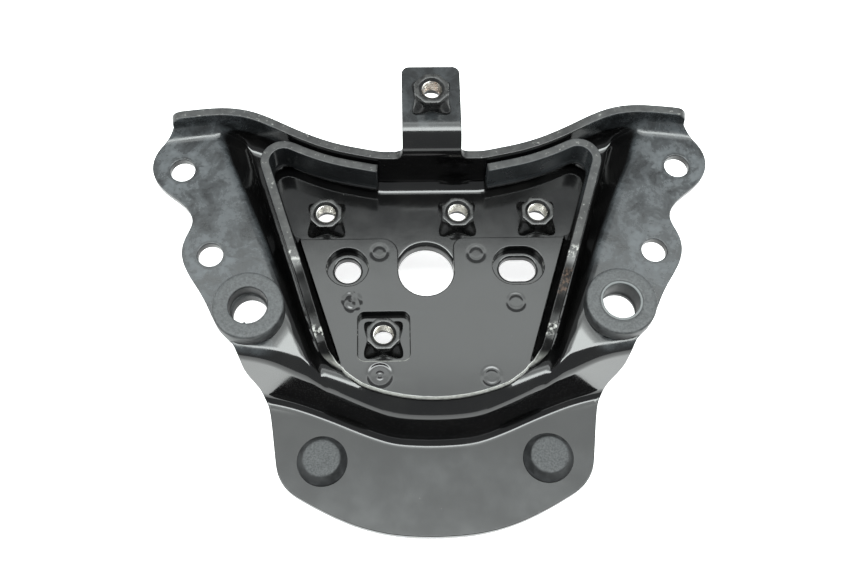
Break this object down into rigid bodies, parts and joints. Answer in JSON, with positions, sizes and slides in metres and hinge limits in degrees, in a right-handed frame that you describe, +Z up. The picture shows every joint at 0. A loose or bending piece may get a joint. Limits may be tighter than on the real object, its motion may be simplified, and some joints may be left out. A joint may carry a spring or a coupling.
{
  "type": "tail light bracket",
  "caption": "Pressed black steel bracket with a drilled tray, welded nuts, a rear tab, rubber grommets in the ears and rubber stoppers on a lower lip, for carrying a motorbike tail light.",
  "frame": {"origin": "midway between the two grommet bores, on the upper face of the ears", "axes": "+X to the right across the ears, +Y towards the rear tab, +Z up out of the tray, along the grommet bores"},
  "size_m": [0.16, 0.1253, 0.0502],
  "materials": {
    "black_coat": "gloss black electro-coat with scuffs",
    "pan_coat": "gloss black electro-coat with worn edges",
    "nut_steel": "black base with bare steel collar and thread",
    "grommet_rubber": "matt, dusty",
    "stopper_rubber": "matt"
  },
  "bodies": {
    "root": {"tray_rear_left": "black_coat", "tray_rear_middle": "black_coat", "tray_rear_right": "black_coat", "tray_band": "black_coat", "tray_left": "black_coat", "tray_middle": "black_coat", "tray_right": "black_coat", "left_ear": "black_coat", "right_ear": "black_coat", "front_lip": "black_coat", "rear_flange": "black_coat", "pan_left_wall": "pan_coat", "pan_right_wall": "pan_coat", "pan_left_floor": "pan_coat", "pan_middle_floor": "pan_coat", "pan_right_floor": "pan_coat", "weld_nuts": "nut_steel", "left_grommet": "grommet_rubber", "right_grommet": "grommet_rubber", "left_stopper": "stopper_rubber", "right_stopper": "stopper_rubber"}
  },
  "joints": []
}
